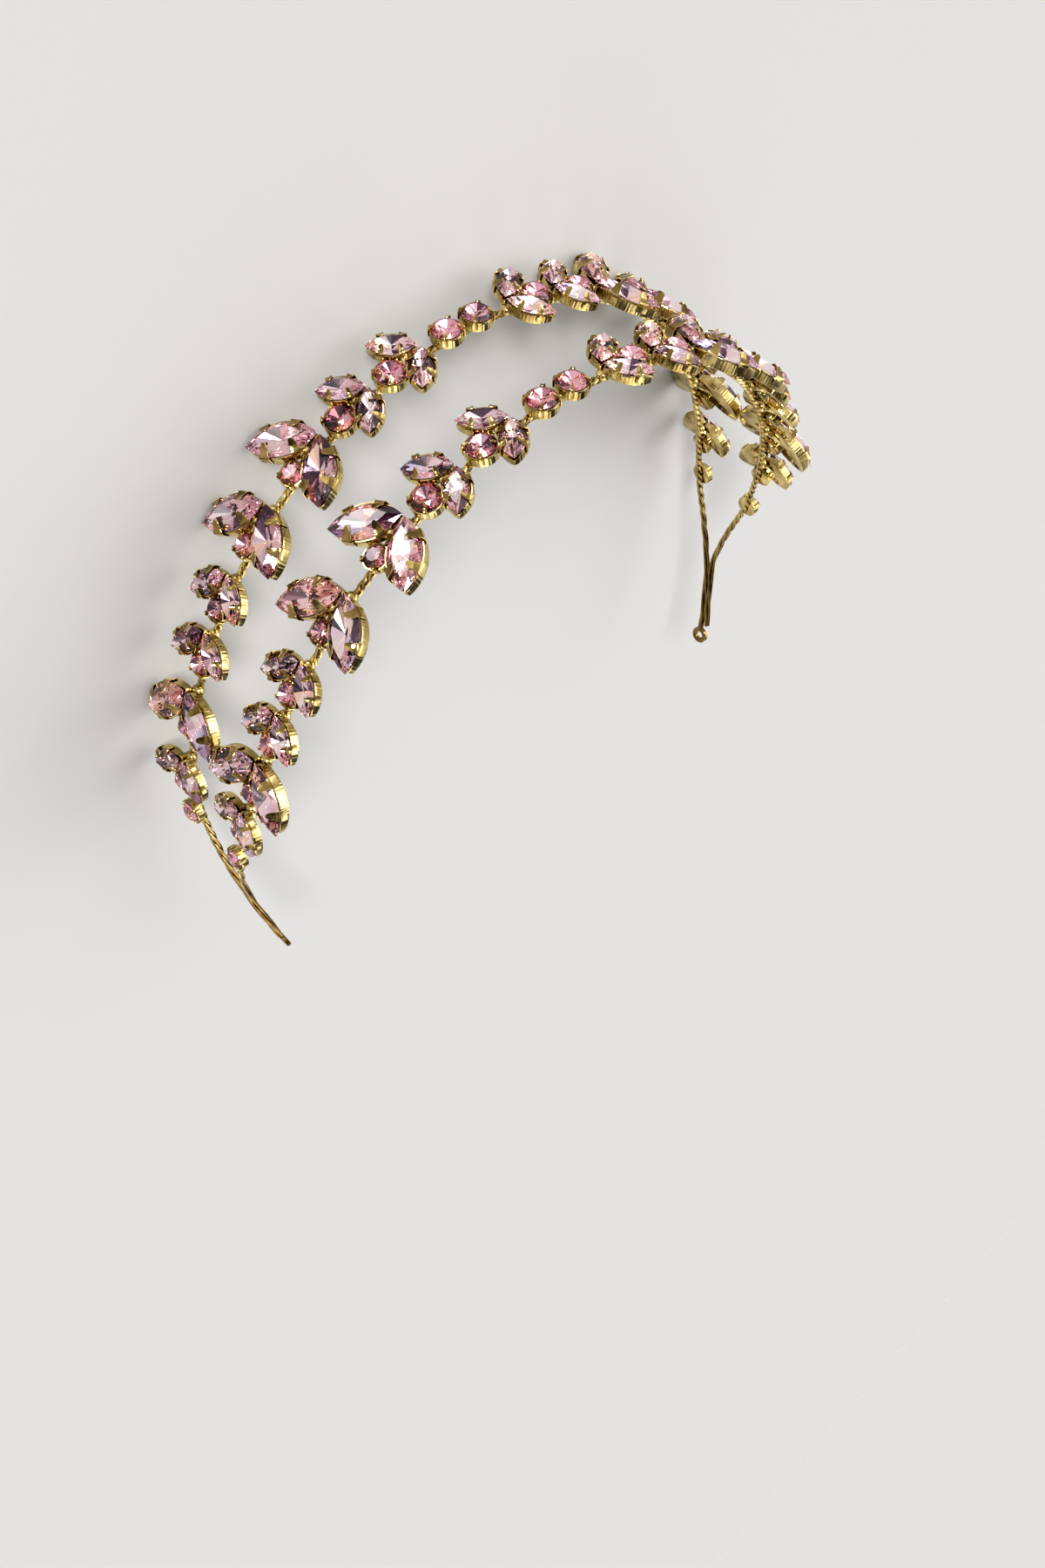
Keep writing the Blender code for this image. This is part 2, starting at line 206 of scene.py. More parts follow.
def spread_at(along, row):
    """How far towards the front a row's wire lies, on a smooth curve through the table."""
    column = 1 if row == "front" else 2
    knots = [(r[0] * MM, r[column] * MM) for r in SPREAD]
    knots = [(-knots[1][0], knots[1][1])] + knots
    last, before = knots[-1], knots[-2]
    knots.append((2 * last[0] - before[0], 2 * last[1] - before[1]))
    for i in range(1, len(knots) - 2):
        if along <= knots[i + 1][0] or i == len(knots) - 3:
            break
    (s0, z0), (s1, z1), (s2, z2), (s3, z3) = knots[i - 1:i + 3]
    t = (along - s1) / (s2 - s1)
    slope1 = (z2 - z0) / (s2 - s0) * (s2 - s1)
    slope2 = (z3 - z1) / (s3 - s1) * (s2 - s1)
    return (
        z1 * (2 * t ** 3 - 3 * t ** 2 + 1)
        + slope1 * (t ** 3 - 2 * t ** 2 + t)
        + z2 * (3 * t ** 2 - 2 * t ** 3)
        + slope2 * (t ** 3 - t ** 2)
    )


def wire_point(along, row, side):
    """A point on a row's wire, on the crown's +X half for side 1 and the other half for side -1."""
    x, y, _ = arch_at(along)
    return Vector((side * x, y, spread_at(along, row)))


def wire_frame(along, row, side, turn=0.0, tip=0.0):
    """A frame on the wire: X towards the crown's end, Z away from the head, turned and tipped."""
    _, _, heading = arch_at(along)
    after = wire_point(along + ARCH_STEP, row, side)
    before = wire_point(along - ARCH_STEP, row, side)
    ahead = after - before
    axis_x = ahead.normalized()
    out = Vector((side * math.sin(heading), math.cos(heading), 0.0))
    axis_z = (out - axis_x * out.dot(axis_x)).normalized()
    axis_y = axis_z.cross(axis_x)
    made = Matrix((axis_x, axis_y, axis_z)).transposed().to_4x4()
    made.translation = wire_point(along, row, side)
    forward = 1.0 if axis_y.z > 0 else -1.0
    swing = Matrix.Rotation(forward * math.radians(turn), 4, "Z")
    lean = Matrix.Rotation(-forward * math.radians(tip), 4, "X")
    return made @ swing @ lean


# Mesh building

def add_object(name, data):
    """A new object in the scene."""
    made = bpy.data.objects.new(name, data)
    bpy.context.scene.collection.objects.link(made)
    return made


class Bag:
    """Gathers many small meshes into one."""

    def __init__(self):
        self.points = []
        self.faces = []
        self.slots = []
        self.tints = []

    def add(self, points, faces, matrix=None, slot=0, tints=None):
        """Adds a mesh, moved by the matrix, with one material slot or a list of one for each face."""
        start = len(self.points)
        if matrix is not None:
            rows = np.array(matrix)
            flat = np.array(points) @ rows[:3, :3].T + rows[:3, 3]
            points = flat.tolist()
        self.points.extend([tuple(p) for p in points])
        self.faces.extend([tuple(start + i for i in f) for f in faces])
        self.slots.extend(slot if isinstance(slot, list) else [slot] * len(faces))
        self.tints.extend(tints if tints else [WHITE] * len(faces))

    def make(self, name, materials, smooth_angle, replaced, slot_name):
        """Makes the gathered mesh a piece of the crown, lying as the CAD lies."""
        mesh = bpy.data.meshes.new(name)
        mesh.from_pydata(self.points, [], self.faces)
        for finish in materials:
            mesh.materials.append(finish)
        mesh.polygons.foreach_set("material_index", self.slots)
        tint = mesh.attributes.new("facet_tint", "FLOAT_COLOR", "FACE")
        flat = []
        for colour in self.tints:
            flat.extend((*colour, 1.0))
        tint.data.foreach_set("color", flat)
        if smooth_angle is not None:
            mesh.polygons.foreach_set("use_smooth", [True] * len(self.faces))
            mesh.set_sharp_from_angle(angle=smooth_angle)
        mesh.transform(HOLDER)
        mesh.update()
        made = add_object(name, mesh)
        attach(made, "root")
        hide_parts(*replaced)


def stone_size(kind):
    """Length, width, girdle height and table height of a stone."""
    return tuple(value * MM for value in STONES[kind][:4])


def side_arc(length, width):
    """Radius and half angle of the arc that bounds a pointed stone on each side."""
    a = length / 2
    b = width / 2
    radius = (a * a + b * b) / (2 * b)
    return radius, math.asin(a / radius)


def outline(length, width, share):
    """A point on a stone's outline and its outward direction, at a share of the way round."""
    share %= 1.0
    if length == width:
        angle = 2 * math.pi * share
        out = (math.cos(angle), math.sin(angle))
        return out[0] * length / 2, out[1] * length / 2, out[0], out[1]
    radius, half_angle = side_arc(length, width)
    side = 1 if share < 0.5 else -1
    along = share * 2 if side > 0 else share * 2 - 1
    angle = half_angle * (1 - 2 * along)
    out_x, out_y = side * math.sin(angle), side * math.cos(angle)
    x = radius * out_x
    y = radius * out_y - side * (radius - width / 2)
    return x, y, out_x, out_y


def ring_faces(count, sides):
    """Faces of a closed skin over rings of points, with a cap at each end."""
    faces = []
    for k in range(count - 1):
        a, b = k * sides, (k + 1) * sides
        for i in range(sides):
            j = (i + 1) % sides
            faces.append((a + i, a + j, b + j, b + i))
    faces.append(tuple(reversed(range(sides))))
    faces.append(tuple((count - 1) * sides + i for i in range(sides)))
    return faces


# Crystal: a brilliant-cut crown over a foil-backed underside
CLEAR_SLOT = 0
FOIL_SLOT = 1
CROWN_SIDES = 8
TABLE_SHARE = 0.58
POINTED_TABLE_LONG = 0.68
POINTED_TABLE_WIDE = 0.54
STAR_SHARE = 0.80
STAR_RISE = 0.97
GIRDLE_HALF = 0.10 * MM
CULET_HEIGHT = 0.75 * MM
# Tints of the foil: pinks and lilac, and painted light: the near-black and the dull rose are painted
# dark reflections, the white a painted glint, the peach a painted reflection of gold and the blue a
# painted glint of broken light; columns: red, green, blue, how many of every 32 facet pairs have it
FOIL_PINKS_AND_PAINTED_REFLECTIONS = (
    (1.00, 0.92, 0.93, 8),
    (1.00, 0.84, 0.86, 5),
    (0.92, 0.82, 0.92, 3),
    (1.00, 0.82, 0.66, 2),
    (0.14, 0.08, 0.13, 4),
    (1.00, 1.00, 1.00, 6),
    (0.66, 0.47, 0.54, 3),
    (0.76, 0.79, 1.00, 1),
)
FOIL_PACK = [row[:3] for row in FOIL_PINKS_AND_PAINTED_REFLECTIONS for _ in range(row[3])]


def crystal(kind):
    """Points, faces and slots of a stone, whose crown is clear and whose underside has a foil."""
    length, width, girdle, table = stone_size(kind)
    sides = CROWN_SIDES

    def ring(count, offset, long, wide, z):
        made = []
        for i in range(count):
            x, y, _, _ = outline(length, width, (i + offset) / count)
            made.append((x * long, y * wide, z))
        return made

    crown = table - girdle - GIRDLE_HALF
    star_down = (STAR_SHARE * STAR_RISE - TABLE_SHARE) / (1 - TABLE_SHARE)
    star_z = girdle + GIRDLE_HALF + crown * (1 - star_down)
    pointed = length != width
    long = POINTED_TABLE_LONG if pointed else TABLE_SHARE
    wide = POINTED_TABLE_WIDE if pointed else TABLE_SHARE
    points = ring(sides, 0, long, wide, table)
    points += ring(sides, 0.5, STAR_SHARE, STAR_SHARE, star_z)
    points += ring(2 * sides, 0, 1.0, 1.0, girdle + GIRDLE_HALF)
    points += ring(2 * sides, 0, 1.0, 1.0, girdle - GIRDLE_HALF)
    points.append((0.0, 0.0, CULET_HEIGHT))
    # the table's points come first, then the star facets', the girdle's two edges and the bottom
    star, upper, lower, bottom = sides, 2 * sides, 4 * sides, 6 * sides
    faces = [tuple(range(sides))]
    for i in range(sides):
        after = (i + 1) % sides
        before = (i - 1) % sides
        faces += [
            (i, star + i, after),
            (i, star + before, upper + 2 * i),
            (i, upper + 2 * i, star + i),
            (star + i, upper + 2 * i, upper + 2 * i + 1),
            (star + i, upper + 2 * i + 1, upper + (2 * i + 2) % (2 * sides)),
        ]
    for i in range(2 * sides):
        after = (i + 1) % (2 * sides)
        faces.append((upper + i, lower + i, lower + after, upper + after))
    slots = [CLEAR_SLOT] * len(faces) + [FOIL_SLOT] * 2 * sides
    for i in range(2 * sides):
        faces.append((bottom, lower + (i + 1) % (2 * sides), lower + i))
    return points, faces, slots


def deal_tint():
    """The next tint from a shuffled pack, so that no stone comes out all dark or all pale."""
    if not undealt:
        undealt.extend(FOIL_PACK)
        rng.shuffle(undealt)
    return undealt.pop()


def facet_tints(slots):
    """A tint for each pair of foil-backed facets, and plain white for the clear ones."""
    tints = []
    lower = 0
    for slot in slots:
        if slot == CLEAR_SLOT:
            tints.append(WHITE)
            continue
        if lower % 2 == 0:
            pick = deal_tint()
        lower += 1
        tints.append(pick)
    return tints


# Settings

def cup(kind):
    """A thin cup with fluted walls that follows the stone's outline, open inside."""
    length, width, girdle, _ = stone_size(kind)
    ribs = STONES[kind][-1]
    pointed = length != width
    steps = ribs * STEPS_PER_RIB
    rim = girdle - RIM_BELOW
    short = (1 - 2 * TIP_SHORT_SHARE) if pointed else 1.0
    tip = length / 2 * short
    points = []
    for up, inward, rib in CUP_RINGS:
        for i in range(steps):
            x, y, out_x, out_y = outline(length, width, i / steps)
            x *= short
            flute = 0.5 - 0.5 * math.cos(2 * math.pi * i / STEPS_PER_RIB)
            away = CUP_OUT - inward - rib * RIB_DEPTH * flute
            top = rim
            if pointed:
                near = max(0.0, abs(x) / tip - TIP_DROP_FROM) / (1 - TIP_DROP_FROM)
                top = rim - TIP_DROP * near ** TIP_DROP_POWER
                if abs(x) > tip * TIP_BLUNT_FROM:
                    out_x, out_y = math.copysign(TIP_BLUNT_LONG, x), out_y * TIP_BLUNT_WIDE
            points.append((x + out_x * away, y + out_y * away, top * up))
    return points, ring_faces(len(CUP_RINGS), steps)


def claw(kind, share):
    """A tongue of metal that rises from the wall and folds over the stone's edge."""
    length, width, girdle, table = stone_size(kind)
    _, base_width, tip_width, reach = CLAWS[kind]
    x, y, out_x, out_y = outline(length, width, share)
    if length != width:
        x *= 1 - TIP_SHORT_SHARE * CLAW_SHORT_SHARE
    edge = girdle + GIRDLE_HALF
    inset = width / 2 * (1 - TABLE_SHARE)
    slope = (table - edge) / inset
    reach *= MM
    # columns: distance outwards from the stone's edge, height, share of the width change,
    # share of the width that the rounded end leaves
    path = [
        (CUP_OUT - 0.04 * MM, girdle * 0.35, 0.0, 1.0),
        (CUP_OUT + 0.02 * MM, girdle * 0.75, 0.0, 1.0),
        (CUP_OUT + 0.02 * MM, edge, 0.15, 1.0),
        (CUP_OUT - 0.14 * MM, edge + 0.26 * MM, 0.35, 1.0),
        (0.04 * MM, edge + 0.36 * MM, CLAW_BEND_CHANGE, 1.0),
    ]
    for k in CLAW_REACH_STEPS:
        past = max(0.0, (k - CLAW_ROUND_FROM) / (1 - CLAW_ROUND_FROM))
        rounded = max(CLAW_BLUNT, math.sqrt(1 - past * past))
        height = edge + slope * reach * k + CLAW_CLEAR
        path.append((-reach * k, height, min(1.0, CLAW_BEND_CHANGE + k), rounded))
    points = []
    for k, (away, z, change, rounded) in enumerate(path):
        before = path[max(k - 1, 0)]
        after = path[min(k + 1, len(path) - 1)]
        run = (after[0] - before[0], after[1] - before[1])
        size = math.hypot(*run)
        normal = (run[1] / size, -run[0] / size)
        half = (base_width + (tip_width - base_width) * change) * MM / 2 * rounded
        rim = CLAW_RIM * half / (base_width * MM / 2)
        for layer in (0.5, -0.5):
            for across in CLAW_COLUMNS:
                thick = CLAW_THICK * layer * (1.0 if abs(across) < CLAW_EDGE_FROM else CLAW_EDGE_THICK)
                thick += rim * across * across
                off = away + normal[0] * thick - CLAW_DISH * half * across * across
                points.append((
                    x + out_x * off - out_y * across * half,
                    y + out_y * off + out_x * across * half,
                    z + normal[1] * thick,
                ))
    # each step of the path has its upper points first and then, from low, those underneath
    low = len(CLAW_COLUMNS)
    end = low - 1
    faces = []
    # the faces inside the claw's hollow get painted shade
    shaded_hollows = []
    for k in range(len(path) - 1):
        a, b = k * 2 * low, (k + 1) * 2 * low
        for i in range(end):
            if 0 < i < end - 1 and 1 < k < len(path) - 2:
                shaded_hollows.append(len(faces))
            faces.append((a + i, a + i + 1, b + i + 1, b + i))
            faces.append((a + low + i + 1, a + low + i, b + low + i, b + low + i + 1))
        faces.append((a, b, b + low, a + low))
        faces.append((b + end, a + end, a + end + low, b + end + low))
    last = (len(path) - 1) * 2 * low
    for i in range(end):
        faces.append((i + 1, i, i + low, i + 1 + low))
        faces.append((last + i, last + i + 1, last + i + 1 + low, last + i + low))
    tints = [WHITE] * len(faces)
    for i in shaded_hollows:
        tints[i] = CLAW_HOLLOW_SHADE
    return points, faces, tints


def claw_shares(kind):
    """Where the four claws stand, as shares of the way round the outline."""
    place = CLAWS[kind][0]
    length, width = STONES[kind][:2]
    if length == width:
        return ROUND_CLAW_SHARES
    radius, half_angle = side_arc(length, width)
    share = (1 - math.asin(place * length / 2 / radius) / half_angle) / 4
    return (share, 0.5 - share, 0.5 + share, 1 - share)


def ball(radius):
    """A bead or a drop of solder, a little flatter than a ball."""
    rings, sides = BALL_RINGS, BALL_SIDES
    points = [(0.0, 0.0, -radius * BALL_SQUASH)]
    for r in range(1, rings):
        angle = math.pi * r / rings
        for i in range(sides):
            turn = 2 * math.pi * i / sides
            points.append((
                radius * math.sin(angle) * math.cos(turn),
                radius * math.sin(angle) * math.sin(turn),
                -radius * math.cos(angle) * BALL_SQUASH,
            ))
    points.append((0.0, 0.0, radius * BALL_SQUASH))
    faces = []
    for i in range(sides):
        j = (i + 1) % sides
        faces.append((0, 1 + j, 1 + i))
        for r in range(rings - 2):
            a, b = 1 + r * sides, 1 + (r + 1) * sides
            faces.append((a + i, a + j, b + j, b + i))
        a = 1 + (rings - 2) * sides
        faces.append((a + i, a + j, len(points) - 1))
    return points, faces


def tube(centres, radius, sides, up):
    """A closed tube along points, with its section square to the path."""
    centres = np.array(centres)
    ahead = np.gradient(centres, axis=0)
    ahead /= np.linalg.norm(ahead, axis=1)[:, None]
    across = np.cross(ahead, np.array(up))
    across /= np.linalg.norm(across, axis=1)[:, None]
    third = np.cross(across, ahead)
    angles = np.arange(sides) * 2 * math.pi / sides
    ring = (
        centres[:, None, :]
        + radius * np.cos(angles)[None, :, None] * across[:, None, :]
        + radius * np.sin(angles)[None, :, None] * third[:, None, :]
    )
    return ring.reshape(-1, 3).tolist(), ring_faces(len(centres), sides)


def stem_share(along):
    """How far a place on the wire has the stem's look, from 0 to 1."""
    return min(max((abs(along) - STEM_LOOK_FROM) / (STEM_LOOK_TO - STEM_LOOK_FROM), 0.0), 1.0)


def twisted_wire(row, end):
    """Strands twisted round each other along a row's whole path."""
    turns = 2 * end / TWIST_PITCH
    count = int(turns * TURN_STEPS)
    stops = [-end + 2 * end * i / count for i in range(count + 1)]
    centres, outs, ups = [], [], []
    for s in stops:
        side = -1 if s < 0 else 1
        made = wire_frame(max(abs(s), TINY), row, side)
        centres.append(made.translation[:])
        outs.append(made.col[2][:3])
        sideways = Vector(made.col[1][:3]) * side
        ups.append(sideways[:])
    centres, outs, ups = np.array(centres), np.array(outs), np.array(ups)
    stem_shares = [stem_share(s) for s in stops]
    rates = [1 / TWIST_PITCH + (1 / STEM_PITCH - 1 / TWIST_PITCH) * on_stem for on_stem in stem_shares]
    turned = 2 * math.pi * np.cumsum(rates) * (stops[1] - stops[0])
    parts = []
    for strand_number in range(STRANDS):
        start = 2 * math.pi * strand_number / STRANDS
        phase = start + turned
        wave = outs * np.cos(phase)[:, None] + ups * np.sin(phase)[:, None]
        strand = centres + TWIST_RADIUS * wave
        points, faces = tube(strand, STRAND_RADIUS, STRAND_SIDES, (0.0, 0.0, 1.0))
        tints = []
        for on_stem in stem_shares[1:]:
            tone = tuple(1.0 + (dark - 1.0) * on_stem for dark in STEM_DARKER_TINT)
            tints += [tone] * STRAND_SIDES
        tints += [STEM_DARKER_TINT] * 2
        parts.append((points, faces, tints))
    return parts


def eye_ring():
    """The flattened loop at the crown's end, with rounded edges."""
    half = EYE_THICKNESS / 2
    soft = EYE_EDGE_SOFTNESS
    section = (
        (EYE_RADIUS, -half + soft), (EYE_RADIUS, half - soft),
        (EYE_RADIUS - soft, half), (EYE_HOLE_RADIUS + soft, half),
        (EYE_HOLE_RADIUS, half - soft), (EYE_HOLE_RADIUS, -half + soft),
        (EYE_HOLE_RADIUS + soft, -half), (EYE_RADIUS - soft, -half),
    )
    points = []
    for i in range(EYE_SIDES):
        angle = 2 * math.pi * i / EYE_SIDES
        points += [(math.cos(angle) * r, math.sin(angle) * r, z) for r, z in section]
    faces = []
    count = len(section)
    for i in range(EYE_SIDES):
        a, b = i * count, (i + 1) % EYE_SIDES * count
        for k in range(count):
            j = (k + 1) % count
            faces.append((a + k, b + k, b + j, a + j))
    return points, faces


# Materials

# The noise's values at which the darker and the brighter tone are reached
GOLD_TONE_STOPS = (0.32, 0.68)
GOLD_TONE_SCALE = 260.0
CREVICE_REACH = 0.5 * MM
CREVICE_SAMPLES = 6
# Painted shade in crevices and where parts meet, darker where less open sky is seen; columns: share of
# open sky, tone
CREVICE_SHADE_STOPS = (
    (0.15, (0.24, 0.17, 0.07)),
    (0.8, WHITE),
)
WEAR_SCALE = 1400.0
WEAR_LEAST = 0.6
WEAR_MOST = 1.5
RIPPLE_SCALE = 1900.0
RIPPLE_DETAIL = 2.0
RIPPLE_STRENGTH = 0.35
RIPPLE_HEIGHT = 0.03 * MM
CRYSTAL_TONE_SCALE = 210.0
CRYSTAL_TONE_STOPS = (0.35, 0.62)
CRYSTAL_IOR = 1.64
FOIL_ROUGHNESS = 0.03
# Numbers of the mix node's colour sockets, which come after those for values and vectors
MIX_FIRST = 6
MIX_SECOND = 7
MIX_RESULT = 2


def nodes_of(name):
    """A new material with its node tree and shader."""
    made = bpy.data.materials.new(name)
    made.use_nodes = True
    tree = made.node_tree
    return made, tree, tree.nodes["Principled BSDF"]


def noise(tree, scale, detail=3.0, space="Object", pattern=None):
    """A noise value, where another pattern number gives another cloud of the same kind."""
    place = tree.nodes.new("ShaderNodeTexCoord")
    made = tree.nodes.new("ShaderNodeTexNoise")
    if pattern is not None:
        made.noise_dimensions = "4D"
        made.inputs["W"].default_value = pattern
    made.inputs["Scale"].default_value = scale
    made.inputs["Detail"].default_value = detail
    tree.links.new(place.outputs[space], made.inputs["Vector"])
    return made.outputs["Fac"]


def ramp(tree, value, stops):
    """Colours between stops of (place, colour)."""
    made = tree.nodes.new("ShaderNodeValToRGB")
    made.color_ramp.elements[0].position = stops[0][0]
    made.color_ramp.elements[0].color = (*stops[0][1], 1.0)
    made.color_ramp.elements[1].position = stops[-1][0]
    made.color_ramp.elements[1].color = (*stops[-1][1], 1.0)
    for place, colour in stops[1:-1]:
        added = made.color_ramp.elements.new(place)
        added.color = (*colour, 1.0)
    tree.links.new(value, made.inputs["Fac"])
    return made.outputs["Color"]


def level(tree, value, low, high):
    """A value from 0 to 1 spread between low and high."""
    made = tree.nodes.new("ShaderNodeMapRange")
    made.inputs["To Min"].default_value = low
    made.inputs["To Max"].default_value = high
    tree.links.new(value, made.inputs["Value"])
    return made.outputs["Result"]


def blend_colour(tree, share, first, second, mode="MIX"):
    """Two colours mixed or multiplied, each of them a socket or a plain colour."""
    made = tree.nodes.new("ShaderNodeMix")
    made.data_type = "RGBA"
    made.blend_type = mode
    sockets = (made.inputs["Factor"], made.inputs[MIX_FIRST], made.inputs[MIX_SECOND])
    for socket, value in zip(sockets, (share, first, second)):
        if hasattr(value, "is_output"):
            tree.links.new(value, socket)
        elif isinstance(value, float):
            socket.default_value = value
        else:
            socket.default_value = (*value, 1.0)
    return made.outputs[MIX_RESULT]


def gold(name, dark, bright, roughness):
    """Polished plate, uneven in tone, with painted shade in its crevices, and finely rippled."""
    made, tree, shader = nodes_of(name)
    tone = ramp(tree, noise(tree, GOLD_TONE_SCALE), tuple(zip(GOLD_TONE_STOPS, (dark, bright))))
    # painted shade: ambient occlusion darkens the gold in crevices and where parts meet
    crevice = tree.nodes.new("ShaderNodeAmbientOcclusion")
    crevice.inputs["Distance"].default_value = CREVICE_REACH
    crevice.samples = CREVICE_SAMPLES
    deep = ramp(tree, crevice.outputs["AO"], CREVICE_SHADE_STOPS)
    colour = blend_colour(tree, 1.0, tone, deep, "MULTIPLY")
    # the face tints bring in the painted shade of the claws' hollows
    facet = tree.nodes.new("ShaderNodeAttribute")
    facet.attribute_name = "facet_tint"
    colour = blend_colour(tree, 1.0, colour, facet.outputs["Color"], "MULTIPLY")
    tree.links.new(colour, shader.inputs["Base Color"])
    shader.inputs["Metallic"].default_value = 1.0
    rough = level(tree, noise(tree, WEAR_SCALE), roughness * WEAR_LEAST, roughness * WEAR_MOST)
    tree.links.new(rough, shader.inputs["Roughness"])
    bump = tree.nodes.new("ShaderNodeBump")
    bump.inputs["Strength"].default_value = RIPPLE_STRENGTH
    bump.inputs["Distance"].default_value = RIPPLE_HEIGHT
    tree.links.new(noise(tree, RIPPLE_SCALE, RIPPLE_DETAIL), bump.inputs["Height"])
    tree.links.new(bump.outputs["Normal"], shader.inputs["Normal"])
    return made


def crystal_clear(name, pale, deep):
    """The clear upper facets, a little deeper in colour in some places."""
    made, tree, shader = nodes_of(name)
    tone = ramp(tree, noise(tree, CRYSTAL_TONE_SCALE), tuple(zip(CRYSTAL_TONE_STOPS, (deep, pale))))
    tree.links.new(tone, shader.inputs["Base Color"])
    shader.inputs["Transmission Weight"].default_value = 1.0
    shader.inputs["Roughness"].default_value = 0.0
    shader.inputs["IOR"].default_value = CRYSTAL_IOR
    return made


def crystal_foil(name, tint):
    """The foil-backed lower facets, a mirror with its own tint on each facet pair: pinks, with painted
    dark reflections, painted reflections of gold, painted white glints and painted colours of broken
    light.
    """
    made, tree, shader = nodes_of(name)
    facet = tree.nodes.new("ShaderNodeAttribute")
    facet.attribute_name = "facet_tint"
    # the facet tints paint dark and gold reflections, white glints and colours of broken light onto
    # the foil
    colour = blend_colour(tree, 1.0, facet.outputs["Color"], tint, "MULTIPLY")
    tree.links.new(colour, shader.inputs["Base Color"])
    shader.inputs["Metallic"].default_value = 1.0
    shader.inputs["Roughness"].default_value = FOIL_ROUGHNESS
    return made


GOLD = gold("gold_settings", dark=(0.32, 0.236, 0.092), bright=(0.88, 0.73, 0.365), roughness=0.13)
GOLD_WIRE = gold("gold_wire", dark=(0.31, 0.228, 0.09), bright=(0.82, 0.672, 0.34), roughness=0.17)
PALE = [
    crystal_clear("pale_crystal", pale=(1.0, 0.94, 0.94), deep=(0.98, 0.87, 0.87)),
    crystal_foil("pale_foil", tint=(1.0, 0.93, 0.93)),
]
ROSE = [
    crystal_clear("rose_crystal", pale=(0.98, 0.79, 0.83), deep=(0.95, 0.66, 0.72)),
    crystal_foil("rose_foil", tint=(0.98, 0.80, 0.83)),
]

CRYSTALS = {kind: crystal(kind) for kind in STONES}
CUPS = {kind: cup(kind) for kind in STONES}
CLAW_SETS = {kind: [claw(kind, share) for share in claw_shares(kind)] for kind in STONES}


# Assembly

# A strut runs from the wire to each arm's cup: start, middle and end, seen from the cluster's base
STRUT_START = Vector((1.0 * MM, 0.0, 0.1 * MM))
STRUT_MIDDLE_ALONG = 0.45
STRUT_MIDDLE_UP = 0.75
STRUT_END_ALONG = 0.8
STRUT_END_OVER = 0.3 * MM
STRUT_RADIUS = 0.5 * MM
STRUT_SIDES = 8
STRUT_STEPS = 4
# The bead between the stones of a V, and the drop of solder where the struts meet the wire
BEAD_RADII = {"large_marquise": 1.05 * MM, "small_marquise": 0.75 * MM}
BEAD_ALONG = 0.46
BEAD_OVER = 1.6 * MM
SOLDER_RADIUS = 1.5 * MM
SOLDER_AT = Vector((1.2 * MM, 0.0, 0.6 * MM))
BALL_RINGS = 8
BALL_SIDES = 14
BALL_SQUASH = 0.8
SMOOTH_ANGLE = math.radians(38)


def set_stone(kind, place, settings, pale, rose):
    """A cup, its claws and its stone, put into the row's bags."""
    points, faces = CUPS[kind]
    settings.add(points, faces, place)
    for points, faces, tints in CLAW_SETS[kind]:
        settings.add(points, faces, place, tints=tints)
    points, faces, slots = CRYSTALS[kind]
    bag = rose if kind.endswith("round") else pale
    bag.add(points, faces, place, slots, facet_tints(slots))


def set_cluster(row, side, cluster, settings, pale, rose):
    """A V of two marquise stones with a round stone between its arms, and the metal under them."""
    front, rear, marquise, round_kind, arm, round_at, *leans = cluster
    along = (front if row == "front" else rear) * MM
    turn, tip = leans[:2] if row == "front" else leans[2:]
    base = wire_frame(along, row, side, turn, tip)
    lift = Matrix.Translation((0.0, 0.0, CLUSTER_LIFT))
    reach = STONES[marquise][0] * MM / 2 + APEX_GAP
    for sign in (1, -1):
        swing = Matrix.Rotation(math.radians(sign * arm), 4, "Z")
        place = base @ lift @ swing @ Matrix.Translation((reach, 0.0, 0.0))
        set_stone(marquise, place, settings, pale, rose)
        start = base @ STRUT_START
        middle = Vector((reach * STRUT_MIDDLE_ALONG, 0.0, CLUSTER_LIFT * STRUT_MIDDLE_UP))
        middle = base @ (swing @ middle)
        end = base @ (swing @ Vector((reach * STRUT_END_ALONG, 0.0, CLUSTER_LIFT + STRUT_END_OVER)))
        strut = [start.lerp(middle, t / STRUT_STEPS) for t in range(STRUT_STEPS)]
        strut += [middle.lerp(end, t / STRUT_STEPS) for t in range(STRUT_STEPS + 1)]
        points, faces = tube([p[:] for p in strut], STRUT_RADIUS, STRUT_SIDES, base.col[2][:3])
        settings.add(points, faces)
    place = base @ Matrix.Translation((round_at * MM, 0.0, SINGLE_LIFT))
    set_stone(round_kind, place, settings, pale, rose)
    bead_at = Vector((round_at * MM * BEAD_ALONG, 0.0, CLUSTER_LIFT + BEAD_OVER))
    points, faces = ball(BEAD_RADII[marquise])
    settings.add(points, faces, base @ Matrix.Translation(bead_at))
    points, faces = ball(SOLDER_RADIUS)
    settings.add(points, faces, base @ Matrix.Translation(SOLDER_AT))


def set_single(row, side, along, kind, settings, pale, rose):
    """One round stone on the wire."""
    place = wire_frame(along, row, side) @ Matrix.Translation((0.0, 0.0, SINGLE_LIFT))
    set_stone(kind, place, settings, pale, rose)


